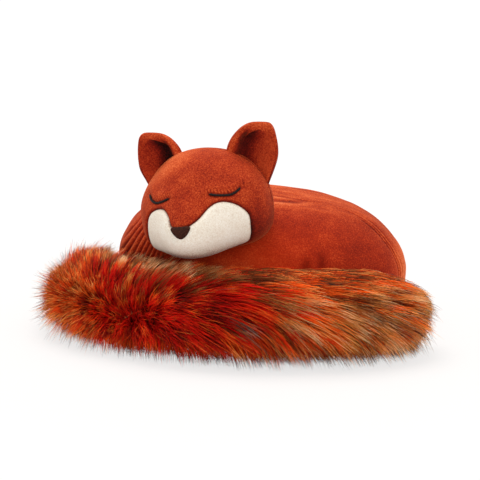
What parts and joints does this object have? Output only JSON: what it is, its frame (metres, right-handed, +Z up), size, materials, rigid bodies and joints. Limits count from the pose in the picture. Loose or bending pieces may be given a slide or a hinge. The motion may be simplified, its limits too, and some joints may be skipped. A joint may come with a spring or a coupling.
{
  "type": "plush fox",
  "caption": "Sleeping plush fox curled up with its head on a long-pile tail; head lifts at the neck seam and tail swings out at its root.",
  "frame": {"origin": "centre of the footprint's bounding box, on the table", "axes": "+Z up, -Y towards the viewer, whom the face looks at, +X along the tail towards its tip"},
  "size_m": [0.3146, 0.249, 0.178],
  "materials": {
    "rust_plush": "short velvety pile, matt",
    "ear_lining": "short velvety pile, darker, matt",
    "cream_plush": "short pile, matt",
    "nose_suede": "fine suede, matt",
    "eye_thread": "embroidered thread",
    "long_pile_fur": "long mixed-colour faux fur",
    "filling_fibre": "loose fibre",
    "pouch_cotton": "plain cotton",
    "backing_cloth": "knitted backing, matt"
  },
  "bodies": {
    "body": {"body_front_cover": "rust_plush", "body_back_cover": "rust_plush", "body_base_panel": "rust_plush", "body_filling": "filling_fibre", "bean_bag": "pouch_cotton"},
    "head": {"head_face_cover": "rust_plush", "head_back_cover": "rust_plush", "muzzle_patch": "cream_plush", "head_filling": "filling_fibre", "neck_closing_panel": "backing_cloth", "nose": "nose_suede", "eye_stitch_left": "eye_thread", "eye_stitch_right": "eye_thread", "ear_left_outer": "rust_plush", "ear_left_inner": "ear_lining", "ear_right_outer": "rust_plush", "ear_right_inner": "ear_lining"},
    "tail": {"tail_fur_cover": "long_pile_fur", "tail_filling": "filling_fibre", "tail_root_panel": "backing_cloth"}
  },
  "joints": [
    {"name": "head_nod", "type": "hinge", "parent": "body", "child": "head", "pos_m": [-0.02261, 0.01654, 0.114], "axis": [-0.9511, 0.309, 0], "range_deg": [0, 12]},
    {"name": "tail_swing", "type": "hinge", "parent": "body", "child": "tail", "pos_m": [-0.05982, 0.10754, 0], "axis": [0, 0, -1], "range_deg": [0, 30]}
  ]
}
